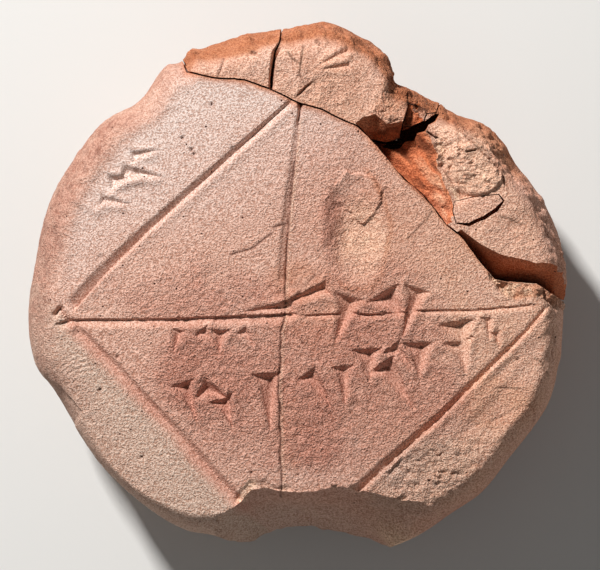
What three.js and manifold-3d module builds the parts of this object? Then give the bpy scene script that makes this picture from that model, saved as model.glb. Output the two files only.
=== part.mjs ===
// A round clay school tablet, lying on its domed reverse with the obverse up.
// Its rim broke in antiquity: one main body, three rim sherds, a bridging chip and a thin flake,
// fitted back together with open cracks between them. Millimetres, +Z up, +X to the reader's right.
import * as THREE from 'three';
import { mergeVertices } from 'three/addons/utils/BufferGeometryUtils.js';
import { ConvexGeometry } from 'three/addons/geometries/ConvexGeometry.js';
import Module from 'manifold-3d';

const wasm = await Module();
wasm.setup();

// Driving dimensions of the clay blank.
const THICKNESS = 26;
const WIDEST_HEIGHT = 14;
const CROWN = 1.3;
const REST_SPOT = 0.27;
const SOFT_SHOULDER = 0.84;
const SHARP_SHOULDER = 0.95;
const SHARP_SIDE_ANGLE = 226;
const SHARP_SIDE_SPREAD = 26;
const SEGMENTS = 120;

// The rim's plan outline: [angle in degrees counter-clockwise from +X, radius].
const RIM = [
  [0, 39.9], [10, 39.6], [20, 38.5], [29, 37], [36, 37.2], [42, 36.2], [48, 34.2], [60, 33.6],
  [64, 33.4], [66, 35], [70, 36.8], [76, 37.9], [84, 39], [91, 38.2], [103, 37.9], [112, 37.8],
  [114.5, 38.4], [118, 37.3], [121, 37.9], [131, 36], [140, 37.6], [150, 38.1], [163, 38.9], [175, 39.1],
  [187, 40.4], [197, 40.8], [204, 39.6], [210, 39.3], [225, 39.7], [245, 40.2], [252, 39.4], [262, 40.4],
  [275, 41], [293, 41.5], [303, 40.9], [312, 41.1], [321, 40.5], [334, 41], [345, 40.3], [354, 39.6],
];

// Mended cracks and their open widths.
const CRACK = 0.35;
const OPEN_CRACK = 0.6;

// Incised lines and pressed strokes.
const GROOVE = { width: 1.3, depth: 0.75 };
const WIDE_GROOVE = { width: 1.9, depth: 0.6 };
const THIN_GROOVE = { width: 0.8, depth: 0.45 };
const HAIRLINE = { width: 0.5, depth: 0.4 };
const STROKE = { width: 2, depth: 0.9 };
const CUT_MARGIN = 0.25;
const GROOVE_STEP = 3;

// The scooped hollow right of the middle line.
const HOLLOW = { x: 8.5, y: 8.4, halfWidth: 4.9, halfLength: 7.8, depth: 0.8 };

// The flake and the scar that it lies in, and the height of the broken chip's top.
const SCAR_DEPTH = 3;
const FLAKE_THICKNESS = 2.6;
const CHIP_TOP = 23;

const CLAY = { body: 0xcfa28c, rim: 0xd79a7c, fracture: 0xc4764f };

// ---- Plan outline and profile of the blank ----

// Radius of the rim at an angle in radians, a smooth closed curve through RIM.
function rimRadius(angle) {
  const degrees = THREE.MathUtils.euclideanModulo(THREE.MathUtils.radToDeg(angle), 360);
  const at = (index) => {
    const turns = Math.floor(index / RIM.length);
    const [a, r] = RIM[index - turns * RIM.length];
    return [a + turns * 360, r];
  };
  const last = RIM.filter(([a]) => a <= degrees).length - 1;
  const [[a0, r0], [a1, r1], [a2, r2], [a3, r3]] = [at(last - 1), at(last), at(last + 1), at(last + 2)];
  const span = a2 - a1;
  const t = (degrees - a1) / span;
  const leave = ((r2 - r0) / (a2 - a0)) * span;
  const arrive = ((r3 - r1) / (a3 - a1)) * span;
  const rise = r2 - r1;
  return r1 + t * (leave + t * (3 * rise - 2 * leave - arrive + t * (leave + arrive - 2 * rise)));
}

// Where the shoulder starts, as a fraction of the radius: soft all round, crisp at the lower left.
function shoulderStart(angle) {
  const degrees = THREE.MathUtils.euclideanModulo(THREE.MathUtils.radToDeg(angle), 360);
  const crisp = Math.exp(-(((degrees - SHARP_SIDE_ANGLE) / SHARP_SIDE_SPREAD) ** 2));
  return THREE.MathUtils.lerp(SOFT_SHOULDER, SHARP_SHOULDER, crisp);
}

// Height of the obverse at a fraction of the radius.
function obverseHeight(fraction, start) {
  const crowned = THICKNESS - CROWN * Math.min(fraction, start) ** 2;
  if (fraction <= start) return crowned;
  const along = Math.min((fraction - start) / (1 - start), 1);
  return WIDEST_HEIGHT + (crowned - WIDEST_HEIGHT) * Math.sqrt(1 - along ** 2);
}

// Height of the domed reverse at a fraction of the radius.
function reverseHeight(fraction) {
  const along = THREE.MathUtils.clamp((fraction - REST_SPOT) / (1 - REST_SPOT), 0, 1);
  return WIDEST_HEIGHT * (1 - Math.sqrt(1 - along ** 2));
}

function planPoint(x, y) {
  const angle = Math.atan2(y, x);
  return { fraction: Math.hypot(x, y) / rimRadius(angle), start: shoulderStart(angle) };
}

function faceHeight(x, y) {
  const { fraction, start } = planPoint(x, y);
  return obverseHeight(fraction, start);
}

function undersideHeight(x, y) {
  return reverseHeight(planPoint(x, y).fraction);
}

// ---- Solids ----

function solid(geometry) {
  geometry.deleteAttribute('normal');
  geometry.deleteAttribute('uv');
  const merged = mergeVertices(geometry, 1e-4);
  const vertex = (index) => new THREE.Vector3().fromBufferAttribute(merged.attributes.position, index);
  const corners = merged.index.array;
  const triangles = [];
  let volume = 0;
  for (let i = 0; i < corners.length; i += 3) {
    const [a, b, c] = [corners[i], corners[i + 1], corners[i + 2]];
    if (a !== b && b !== c && c !== a) {
      triangles.push(a, b, c);
      volume += vertex(a).dot(vertex(b).cross(vertex(c)));
    }
  }
  if (volume < 0) triangles.reverse();
  return new wasm.Manifold(new wasm.Mesh({
    numProp: 3,
    vertProperties: new Float32Array(merged.attributes.position.array),
    triVerts: new Uint32Array(triangles),
  }));
}

function joined(solids) {
  return solids.reduce((whole, next) => whole.add(next));
}

// The clay blank: a lathe-turned bun of unit radius, spread to the rim's outline.
function blank() {
  const quarter = Math.PI / 2;
  const profile = [new THREE.Vector2(0, 0), new THREE.Vector2(REST_SPOT, 0)];
  for (const turn of [0.3, 0.5, 0.65, 0.78, 0.88, 0.96]) {
    const a = turn * quarter;
    profile.push(new THREE.Vector2(REST_SPOT + (1 - REST_SPOT) * Math.sin(a), WIDEST_HEIGHT * (1 - Math.cos(a))));
  }
  for (const turn of [0, 0.12, 0.28, 0.45, 0.65, 0.85]) {
    const fraction = SOFT_SHOULDER + (1 - SOFT_SHOULDER) * Math.cos(turn * quarter);
    profile.push(new THREE.Vector2(fraction, obverseHeight(fraction, SOFT_SHOULDER)));
  }
  for (const part of [1, 0.75, 0.5, 0.25, 0]) {
    const fraction = SOFT_SHOULDER * part;
    profile.push(new THREE.Vector2(fraction, obverseHeight(fraction, SOFT_SHOULDER)));
  }
  const bun = new THREE.LatheGeometry(profile, SEGMENTS);
  bun.rotateX(quarter);
  const points = bun.attributes.position;
  for (let i = 0; i < points.count; i += 1) {
    const [x, y, z] = [points.getX(i), points.getY(i), points.getZ(i)];
    const angle = Math.atan2(y, x);
    const fraction = Math.hypot(x, y);
    let spread = fraction;
    if (z > WIDEST_HEIGHT) {
      const start = shoulderStart(angle);
      spread = fraction <= SOFT_SHOULDER
        ? (fraction * start) / SOFT_SHOULDER
        : start + ((fraction - SOFT_SHOULDER) * (1 - start)) / (1 - SOFT_SHOULDER);
    }
    const radius = spread * rimRadius(angle);
    points.setXYZ(i, radius * Math.cos(angle), radius * Math.sin(angle), z);
  }
  return solid(bun);
}

// A closed solid through a row of sections, each a loop of the same number of points.
function sweep(sections) {
  const sides = sections[0].length;
  const corner = (station, side) => sections[station][side % sides];
  const faces = [];
  for (let s = 0; s + 1 < sections.length; s += 1) {
    for (let i = 0; i < sides; i += 1) {
      faces.push(corner(s, i), corner(s + 1, i), corner(s + 1, i + 1));
      faces.push(corner(s, i), corner(s + 1, i + 1), corner(s, i + 1));
    }
  }
  const end = sections.length - 1;
  for (let i = 1; i + 1 < sides; i += 1) {
    faces.push(corner(0, 0), corner(0, i), corner(0, i + 1));
    faces.push(corner(end, 0), corner(end, i + 1), corner(end, i));
  }
  return solid(new THREE.BufferGeometry().setFromPoints(faces));
}

// Unit vector to the left of a plan polyline at one of its points.
function leftOf(points, i) {
  const [x0, y0] = points[Math.max(i - 1, 0)];
  const [x1, y1] = points[Math.min(i + 1, points.length - 1)];
  const length = Math.hypot(x1 - x0, y1 - y0);
  return [-(y1 - y0) / length, (x1 - x0) / length];
}

// A crack right through the tablet, along a plan polyline.
function crackCutter(points, width) {
  return sweep(points.map(([x, y], i) => {
    const [nx, ny] = leftOf(points, i);
    const reach = width / 2;
    const [left, right] = [[x + nx * reach, y + ny * reach], [x - nx * reach, y - ny * reach]];
    return [
      new THREE.Vector3(...left, -1),
      new THREE.Vector3(...right, -1),
      new THREE.Vector3(...right, THICKNESS + 1),
      new THREE.Vector3(...left, THICKNESS + 1),
    ];
  }));
}

// The same plan polyline with points no further apart than a step.
function dense(points, step) {
  const close = [points[0]];
  for (let i = 1; i < points.length; i += 1) {
    const [[x0, y0], [x1, y1]] = [points[i - 1], points[i]];
    const parts = Math.ceil(Math.hypot(x1 - x0, y1 - y0) / step);
    for (let part = 1; part <= parts; part += 1) {
      close.push([THREE.MathUtils.lerp(x0, x1, part / parts), THREE.MathUtils.lerp(y0, y1, part / parts)]);
    }
  }
  return close;
}

// A V-shaped line drawn into the obverse along a plan polyline.
function grooveCutter(route, { width, depth }) {
  const reach = (width / 2) * (1 + CUT_MARGIN / depth);
  const points = dense(route, GROOVE_STEP);
  return sweep(points.map(([x, y], i) => {
    const [nx, ny] = leftOf(points, i);
    const z = faceHeight(x, y);
    return [
      new THREE.Vector3(x + nx * reach, y + ny * reach, z + CUT_MARGIN),
      new THREE.Vector3(x - nx * reach, y - ny * reach, z + CUT_MARGIN),
      new THREE.Vector3(x, y, z - depth),
    ];
  }));
}

// One pressed stroke: a wedge, deep and broad at its head, running out at its tail.
function strokeCutter([headX, headY], [tailX, tailY], { width, depth }) {
  const length = Math.hypot(tailX - headX, tailY - headY);
  const [ux, uy] = [(tailX - headX) / length, (tailY - headY) / length];
  const [deepX, deepY] = [headX + ux * width * 0.4, headY + uy * width * 0.4];
  const reach = width / 2;
  const top = faceHeight(headX, headY) + CUT_MARGIN;
  return solid(new ConvexGeometry([
    new THREE.Vector3(headX - uy * reach, headY + ux * reach, top),
    new THREE.Vector3(headX + uy * reach, headY - ux * reach, top),
    new THREE.Vector3(tailX, tailY, faceHeight(tailX, tailY) + CUT_MARGIN / 2),
    new THREE.Vector3(deepX, deepY, faceHeight(deepX, deepY) - depth),
  ]));
}

// A row of strokes between two points, their lean swinging from one to the next.
function strokeRow({ from, to, count, length, lean, swing }) {
  const strokes = [];
  for (let i = 0; i < count; i += 1) {
    const t = count > 1 ? i / (count - 1) : 0;
    const head = [THREE.MathUtils.lerp(from[0], to[0], t), THREE.MathUtils.lerp(from[1], to[1], t)];
    const angle = THREE.MathUtils.degToRad(lean + (i % 2 ? swing : -swing));
    const tail = [head[0] + length * Math.cos(angle), head[1] + length * Math.sin(angle)];
    strokes.push(strokeCutter(head, tail, STROKE));
  }
  return joined(strokes);
}

// What lies above a sloping fracture face that falls from a line on the obverse to a deeper line.
function slopeCutter(stations) {
  const lift = 1.3;
  return sweep(stations.map(({ edge, foot, depth }) => {
    const top = faceHeight(...edge);
    const low = new THREE.Vector3(...foot, top - depth);
    const high = low.clone().lerp(new THREE.Vector3(...edge, top), lift);
    return [new THREE.Vector3(...foot, THICKNESS + 3), low, high];
  }));
}

// What lies outside a break that falls from a line on the obverse to a line on the reverse.
function breakCutter(stations) {
  const outside = -60;
  return sweep(stations.map(({ upper, lower }) => {
    const top = new THREE.Vector3(...upper, faceHeight(...upper));
    const bottom = new THREE.Vector3(...lower, undersideHeight(...lower));
    const above = bottom.clone().lerp(top, 1.2);
    const below = top.clone().lerp(bottom, 1.6);
    return [
      above,
      below,
      new THREE.Vector3(below.x, outside, below.z),
      new THREE.Vector3(above.x, outside, above.z),
    ];
  }));
}

// An upright prism over a plan polygon.
function prism(points, bottom = -1, top = THICKNESS + 3) {
  const shape = new THREE.Shape(points.map(([x, y]) => new THREE.Vector2(x, y)));
  const geometry = new THREE.ExtrudeGeometry(shape, { depth: top - bottom, bevelEnabled: false });
  geometry.translate(0, 0, bottom);
  return solid(geometry);
}

// ---- Fracture lines, as plan polylines ----

const TOP_LEFT_CRACK = [
  [-18.5, 36.5], [-16.6, 32], [-16.1, 30.8], [-13.4, 30.1], [-8, 29.5], [-4, 28.3], [-1.2, 26.8], [0, 26.3],
];
const TOP_CRACK = [[0, 26.3], [3.1, 25.4], [6.8, 23.7], [8.6, 22.9], [10.4, 21.1], [12.2, 19]];
const BETWEEN_TOP_SHERDS = [[-3.9, 28.2], [-3.8, 30.6], [-3.4, 33.8], [-2.5, 35.6], [-2.1, 41]];
const BODY_EDGE = [
  [12.2, 19], [14.6, 16.2], [19.4, 11.4], [21.5, 8.6], [23.3, 7.2], [26, 3.8], [28.6, 0.7], [30.4, 0.3],
  [34.7, 0.1], [36.6, -1.1], [42, -4],
];
const FAR_RING = [[60, -6], [60, 60], [-40, 60]];
const SHERD_REGION = [...TOP_LEFT_CRACK, ...TOP_CRACK.slice(1), ...BODY_EDGE.slice(1), ...FAR_RING];

const TOP_TO_RIGHT = [[12.8, 20.6], [14.9, 21.3], [15.2, 23.1]];
const TOP_TO_CHIP = [[15.2, 23.1], [15.9, 25.5], [16, 28.4], [16.8, 31.5]];
const CHIP_TO_RIGHT = [
  [22.6, 30], [20.7, 26.3], [20.1, 25], [18.6, 24.8], [18.2, 23.8], [16.3, 22.9], [15.2, 23.1],
];

const TOP_LEFT_REGION = [...TOP_LEFT_CRACK.slice(0, 6), ...BETWEEN_TOP_SHERDS, [-2.1, 60], [-40, 60]];
const TOP_REGION = [
  ...BETWEEN_TOP_SHERDS.slice().reverse(), ...TOP_LEFT_CRACK.slice(6), ...TOP_CRACK.slice(1, 5),
  ...TOP_TO_RIGHT, ...TOP_TO_CHIP.slice(1), [30, 60], [-2.1, 60],
];
const RIGHT_REGION = [
  TOP_CRACK[4], ...BODY_EDGE, [60, -6], [60, 60], [38, 60], ...CHIP_TO_RIGHT,
  ...TOP_TO_RIGHT.slice(0, 2).reverse(),
];
const CHIP_REGION = [...TOP_TO_CHIP, ...CHIP_TO_RIGHT.slice(0, 6)];
const FLAKE_REGION = [
  [22.7, 12], [25.3, 12.7], [29, 13], [29.5, 12], [28.5, 10.9], [26.9, 9.9], [24.6, 8.8], [22.9, 8.9],
  [22.5, 10.5],
];
const SCAR_REGION = [
  [22.35, 12.25], [25.2, 13.05], [29.3, 13.4], [30.1, 12], [28.8, 10.2], [27.1, 9], [24.8, 7.9], [22.5, 8.3],
  [22.1, 10.5],
];

// Each sloping face: a line on the obverse, the foot of the face below it, and the fall between them.
const TOP_FACET = [
  { edge: [8.2, 23.4], foot: [9.4, 21.6], depth: 1.5 },
  { edge: [11.2, 24.7], foot: [10.8, 20.4], depth: 5 },
  { edge: [12.8, 23.2], foot: [13, 20.4], depth: 5 },
  { edge: [16.4, 24], foot: [15.6, 20.6], depth: 6 },
];
const ORANGE_FACE = [
  { edge: [18.4, 24.6], foot: [10.6, 21.8], depth: 5.5 },
  { edge: [19.2, 22.4], foot: [12.2, 19.4], depth: 6 },
  { edge: [20.8, 20.9], foot: [14.4, 16.5], depth: 5.5 },
  { edge: [21.2, 17], foot: [17, 13.8], depth: 4.5 },
  { edge: [23.4, 12.8], foot: [19.4, 11.2], depth: 3.2 },
  { edge: [22.9, 9.2], foot: [21.3, 8.5], depth: 1.6 },
];
const DARK_FACE = [
  { edge: [23.8, 8], foot: [22.9, 7.4], depth: 2.5 },
  { edge: [26.4, 5.9], foot: [25.3, 4.6], depth: 7 },
  { edge: [30.4, 4.1], foot: [28.4, 0.8], depth: 9 },
  { edge: [34.4, 3], foot: [34.2, 0], depth: 9 },
  { edge: [41.5, 2.6], foot: [41, -2.4], depth: 8 },
];
const LOWER_BREAK = [
  { upper: [-12.3, -37], lower: [-12.8, -38.7] },
  { upper: [-10.7, -33.2], lower: [-9.4, -38.3] },
  { upper: [-8.7, -31.6], lower: [-7.2, -38.4] },
  { upper: [-6.6, -29.4], lower: [-4.8, -37.3] },
  { upper: [-2.5, -29.8], lower: [-1.8, -36.2] },
  { upper: [1.7, -29.7], lower: [1.7, -36.1] },
  { upper: [6.5, -29.4], lower: [6.2, -37.2] },
  { upper: [9.5, -30.3], lower: [10, -38.1] },
  { upper: [12.4, -31], lower: [13.1, -38.6] },
  { upper: [17, -31.4], lower: [15.5, -39.2] },
  { upper: [19.8, -33], lower: [18.7, -37.4] },
  { upper: [23.2, -35], lower: [23.6, -35.6] },
];

// ---- Drawn lines and pressed strokes ----

const TOP_CORNER = [-0.1, 26.2];
const LEFT_CORNER = [-33.6, -4.6];
const RIGHT_CORNER = [36.4, -3];

function drawnLines() {
  return joined([
    grooveCutter([TOP_CORNER, [-9.7, 19.2], [-28.1, 1.7], [-30, -0.9], LEFT_CORNER], GROOVE),
    grooveCutter([[-34.6, -3.4], [-28.8, -10.3], [-18.6, -20.9], [-16.8, -24.4], [-8.2, -32.8]], WIDE_GROOVE),
    grooveCutter([RIGHT_CORNER, [27.2, -12.6], [20.1, -19.7], [7.6, -30.6]], GROOVE),
    grooveCutter([[15.9, -24.9], [11.2, -30]], THIN_GROOVE),
    grooveCutter([TOP_CORNER, [-0.3, 19.1], [-1.6, 5.9], [-1.9, -0.4]], GROOVE),
    grooveCutter([[-1.9, -0.4], [-2.5, -7], [-2.6, -18], [-2.4, -30.5]], HAIRLINE),
    grooveCutter([[-35.5, -6.5], [-33, -5.8], [-18.6, -5.8], [-7.7, -5.4], [0.3, -5]], GROOVE),
    grooveCutter([[0.3, -5], [17.6, -4.1], [25.7, -4.1], [34.5, -3.2]], THIN_GROOVE),
  ]);
}

function pressedStrokes() {
  return joined([
    strokeRow({ from: [-24.6, 18.6], to: [-28.6, 14.4], count: 4, length: 3.2, lean: -64, swing: 10 }),
    strokeRow({ from: [-17.4, -6.6], to: [-3.4, -6.3], count: 5, length: 3, lean: -80, swing: 30 }),
    strokeRow({ from: [2, -1.6], to: [17.6, -0.8], count: 4, length: 4.2, lean: -75, swing: 30 }),
    strokeRow({ from: [8.4, -8.8], to: [17.8, -8.4], count: 3, length: 3.2, lean: -30, swing: 18 }),
    strokeRow({ from: [-15.6, -15], to: [-10.8, -17.2], count: 3, length: 3.2, lean: -110, swing: 18 }),
    strokeRow({ from: [-5.6, -14.4], to: [13, -12.4], count: 6, length: 4.4, lean: -84, swing: 22 }),
    strokeRow({ from: [21, -6.4], to: [25.6, -6.2], count: 3, length: 3.6, lean: -78, swing: 14 }),
  ]);
}

function topSherdStrokes() {
  return joined([
    strokeCutter([7.4, 34], [2.9, 31.4], STROKE),
    strokeCutter([8.6, 31.8], [3.4, 29.6], STROKE),
  ]);
}

function hollowCutter() {
  const { x, y, halfWidth, halfLength, depth } = HOLLOW;
  const dome = 3;
  const spread = 1 / Math.sqrt(1 - ((dome - depth) / dome) ** 2);
  const geometry = new THREE.SphereGeometry(1, 28, 20);
  geometry.scale(halfWidth * spread, halfLength * spread, dome);
  geometry.translate(x, y, faceHeight(x, y) + dome - depth);
  return solid(geometry);
}

// ---- Pieces ----

const group = new THREE.Group();

function addPiece(name, shape, color) {
  const { vertProperties, triVerts } = shape.getMesh();
  const geometry = new THREE.BufferGeometry();
  geometry.setAttribute('position', new THREE.BufferAttribute(vertProperties, 3));
  geometry.setIndex(new THREE.BufferAttribute(triVerts, 1));
  geometry.computeVertexNormals();
  const material = new THREE.MeshStandardMaterial({ color, roughness: 0.9, metalness: 0 });
  const piece = new THREE.Mesh(geometry, material);
  piece.name = name;
  group.add(piece);
}

const bun = blank();
const rimCracks = joined([
  crackCutter(TOP_LEFT_CRACK, CRACK),
  crackCutter([TOP_LEFT_CRACK[6], ...TOP_CRACK, BODY_EDGE[1]], CRACK),
  crackCutter(BODY_EDGE, CRACK),
]);

addPiece(
  'body',
  bun.subtract(prism(SHERD_REGION)).subtract(rimCracks).subtract(breakCutter(LOWER_BREAK))
    .subtract(drawnLines()).subtract(pressedStrokes()).subtract(hollowCutter()),
  CLAY.body,
);

const chipCracks = joined([
  crackCutter([...TOP_TO_RIGHT, ...TOP_TO_CHIP.slice(1)], CRACK),
  crackCutter([TOP_CRACK[4], TOP_TO_RIGHT[0], TOP_TO_RIGHT[1]], CRACK),
  crackCutter(CHIP_TO_RIGHT, CRACK),
]);
const sherdCracks = joined([rimCracks, chipCracks, crackCutter(BETWEEN_TOP_SHERDS, OPEN_CRACK)]);
addPiece('top_left_sherd', bun.intersect(prism(TOP_LEFT_REGION)).subtract(sherdCracks), CLAY.rim);
addPiece(
  'top_sherd',
  bun.intersect(prism(TOP_REGION)).subtract(sherdCracks).subtract(slopeCutter(TOP_FACET))
    .subtract(topSherdStrokes()),
  CLAY.rim,
);

const scarFloor = faceHeight(26, 10.5) - SCAR_DEPTH;
addPiece(
  'right_sherd',
  bun.intersect(prism(RIGHT_REGION)).subtract(sherdCracks).subtract(slopeCutter(ORANGE_FACE))
    .subtract(slopeCutter(DARK_FACE)).subtract(prism(SCAR_REGION, scarFloor)),
  CLAY.fracture,
);

addPiece('bridge_chip', bun.intersect(prism(CHIP_REGION, -1, CHIP_TOP)).subtract(chipCracks), CLAY.fracture);

const flakeBottom = scarFloor + SCAR_DEPTH - FLAKE_THICKNESS;
addPiece('flake', bun.intersect(prism(FLAKE_REGION, flakeBottom)), CLAY.rim);

export default group;
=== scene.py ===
"""A round clay school tablet, broken and mended, lying with its inscribed face up."""
import functools
import itertools
import math

import bmesh
import bpy
import numpy as np
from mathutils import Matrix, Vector
from mathutils.geometry import tessellate_polygon


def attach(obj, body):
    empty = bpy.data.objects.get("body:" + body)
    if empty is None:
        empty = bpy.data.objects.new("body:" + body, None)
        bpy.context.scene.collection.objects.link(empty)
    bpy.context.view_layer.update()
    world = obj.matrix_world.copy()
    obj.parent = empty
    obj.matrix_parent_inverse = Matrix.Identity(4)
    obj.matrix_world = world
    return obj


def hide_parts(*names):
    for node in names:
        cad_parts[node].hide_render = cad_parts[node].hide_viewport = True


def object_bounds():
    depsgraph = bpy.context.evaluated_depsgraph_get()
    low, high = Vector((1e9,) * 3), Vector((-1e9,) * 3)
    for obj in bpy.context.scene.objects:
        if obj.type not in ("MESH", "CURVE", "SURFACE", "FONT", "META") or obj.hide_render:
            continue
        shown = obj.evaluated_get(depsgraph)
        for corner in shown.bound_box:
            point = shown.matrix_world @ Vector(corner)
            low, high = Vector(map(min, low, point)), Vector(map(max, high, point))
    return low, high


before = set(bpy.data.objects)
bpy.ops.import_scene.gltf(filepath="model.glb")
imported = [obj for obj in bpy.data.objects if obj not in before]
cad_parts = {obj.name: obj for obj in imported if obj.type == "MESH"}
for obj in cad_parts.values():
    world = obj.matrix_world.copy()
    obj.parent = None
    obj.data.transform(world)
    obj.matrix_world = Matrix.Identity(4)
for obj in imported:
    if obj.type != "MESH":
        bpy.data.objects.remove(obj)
cad_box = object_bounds()


# ==== The clay blank ====
# A lump of fine river clay patted into a bun: nearly flat in front, domed behind, with a soft shoulder
# all round that is crisp only at the lower left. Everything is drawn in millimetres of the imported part.

DRAWN_WIDTH = 79.9
MM = (cad_box[1].x - cad_box[0].x) / DRAWN_WIDTH
THICKNESS = (cad_box[1].z - cad_box[0].z) / MM
WIDEST_HEIGHT = 14
CROWN = 1.3
REST_SPOT = 0.27
SOFT_SHOULDER = 0.84
# Where the shoulder is crisper: direction and spread in degrees, and how much further out it starts.
CRISP_SIDES = [(226, 26, 0.11), (332, 46, 0.065), (138, 42, 0.03)]
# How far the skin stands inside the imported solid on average, and its top inside the solid's top.
SKIN_SLACK, TOP_SLACK = 0.3, 0.05
# The mesh's rings are spaced by how wide and deep the shoulder turns and how wide the dome is, and grow
# coarser than the face by these factors at the rim and at the rest spot.
SHOULDER_SPAN, SHOULDER_DROP, DOME_SPAN = 6.2, 11, 29
RIM_COARSER, BACK_COARSER = 2.2, 4

# The rim's plan outline: angle in degrees counter-clockwise from +X, then radius.
RIM = np.array([
    (0, 39.9), (10, 39.6), (20, 38.5), (29, 37), (36, 37.2), (42, 36.2), (48, 34.2), (60, 33.6),
    (64, 33.4), (66, 35), (70, 36.8), (76, 37.9), (84, 39), (91, 38.2), (103, 37.9), (112, 37.8),
    (114.5, 38.4), (118, 37.3), (121, 37.9), (131, 36), (140, 37.6), (150, 38.1), (163, 38.9),
    (175, 39.1), (187, 40.4), (197, 40.8), (204, 39.6), (210, 39.3), (225, 39.7), (245, 40.2),
    (252, 39.4), (262, 40.4), (275, 41), (293, 41.5), (303, 40.9), (312, 41.1), (321, 40.5), (334, 41),
    (345, 40.3), (354, 39.6),
])


def rim_radius(angle):
    """Radius of the rim at angles in radians, on a smooth closed curve through RIM."""
    degrees = np.degrees(angle) % 360
    count = len(RIM)
    last = np.searchsorted(RIM[:, 0], degrees, side="right") - 1

    def at(index):
        return RIM[index % count, 0] + 360 * (index // count), RIM[index % count, 1]

    (a0, r0), (a1, r1), (a2, r2), (a3, r3) = (at(last + step) for step in (-1, 0, 1, 2))
    span = a2 - a1
    t = (degrees - a1) / span
    leave, arrive, rise = (r2 - r0) / (a2 - a0) * span, (r3 - r1) / (a3 - a1) * span, r2 - r1
    return r1 + t * (leave + t * (3 * rise - 2 * leave - arrive + t * (leave + arrive - 2 * rise)))


def rim_fraction(x, y):
    """How far out plan points lie: 0 in the middle and 1 on the rim."""
    return np.hypot(x, y) / rim_radius(np.arctan2(y, x))


def shoulder_start(angle):
    """How far out the shoulder starts, as a share of the rim's radius."""
    start = SOFT_SHOULDER + 0 * angle
    for side, spread, extra in CRISP_SIDES:
        away = (np.degrees(angle) - side + 180) % 360 - 180
        start = start + extra * np.exp(-(away / spread) ** 2)
    return start


def obverse_height(x, y):
    """Height of the blank's inscribed face over a plan point."""
    start = shoulder_start(np.arctan2(y, x))
    fraction = rim_fraction(x, y)
    crowned = THICKNESS - CROWN * np.minimum(fraction, start) ** 2
    along = np.clip((fraction - start) / (1 - start), 0, 1)
    return WIDEST_HEIGHT + (crowned - WIDEST_HEIGHT) * np.sqrt(1 - along ** 2)


def reverse_height(x, y):
    """Height of the domed back over a plan point."""
    along = np.clip((rim_fraction(x, y) - REST_SPOT) / (1 - REST_SPOT), 0, 1)
    return WIDEST_HEIGHT * (1 - np.sqrt(1 - along ** 2))


def noise(points, size, seed):
    """Smooth lumps from -1 to 1, about size millimetres across, hashed from the cells of a grid."""
    scaled = points / size + seed * 7.31
    cell = np.floor(scaled).astype(np.int64)
    blend = scaled - cell
    blend = blend * blend * (3 - 2 * blend)
    total = np.zeros(len(points))
    for corner in itertools.product((0, 1), repeat=3):
        key = (cell + corner) @ np.array([73856093, 19349663, 83492791]) + seed * 40503
        key = (key ^ (key >> 13)) * 1274126177
        key = (key ^ (key >> 15)) * 2246822519
        value = ((key ^ (key >> 16)) & 0xFFFF) / 0x7FFF - 1
        total += value * np.prod(np.where(corner, blend, 1 - blend), axis=1)
    return total


def crumb(points, size, seed, octaves=3):
    """Broken lumps: each octave half the size and a little over half the height of the last."""
    return sum(noise(points, size / 2 ** k, seed + k) * 0.55 ** k for k in range(octaves))


def ring_stitch(first_a, count_a, first_b, count_b):
    """Triangles between two rings of any number of points, both counted anticlockwise."""
    order = np.argsort(np.concatenate([
        (np.arange(count_a) + 0.5) / count_a, (np.arange(count_b) + 0.5) / count_b,
    ]), kind="stable")
    on_a = order < count_a
    i = np.cumsum(on_a) - on_a
    k = np.cumsum(~on_a) - ~on_a
    a, a_next = first_a + i % count_a, first_a + (i + 1) % count_a
    b, b_next = first_b + k % count_b, first_b + (k + 1) % count_b
    return np.stack([a, np.where(on_a, a_next, b_next), b], axis=1)


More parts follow.
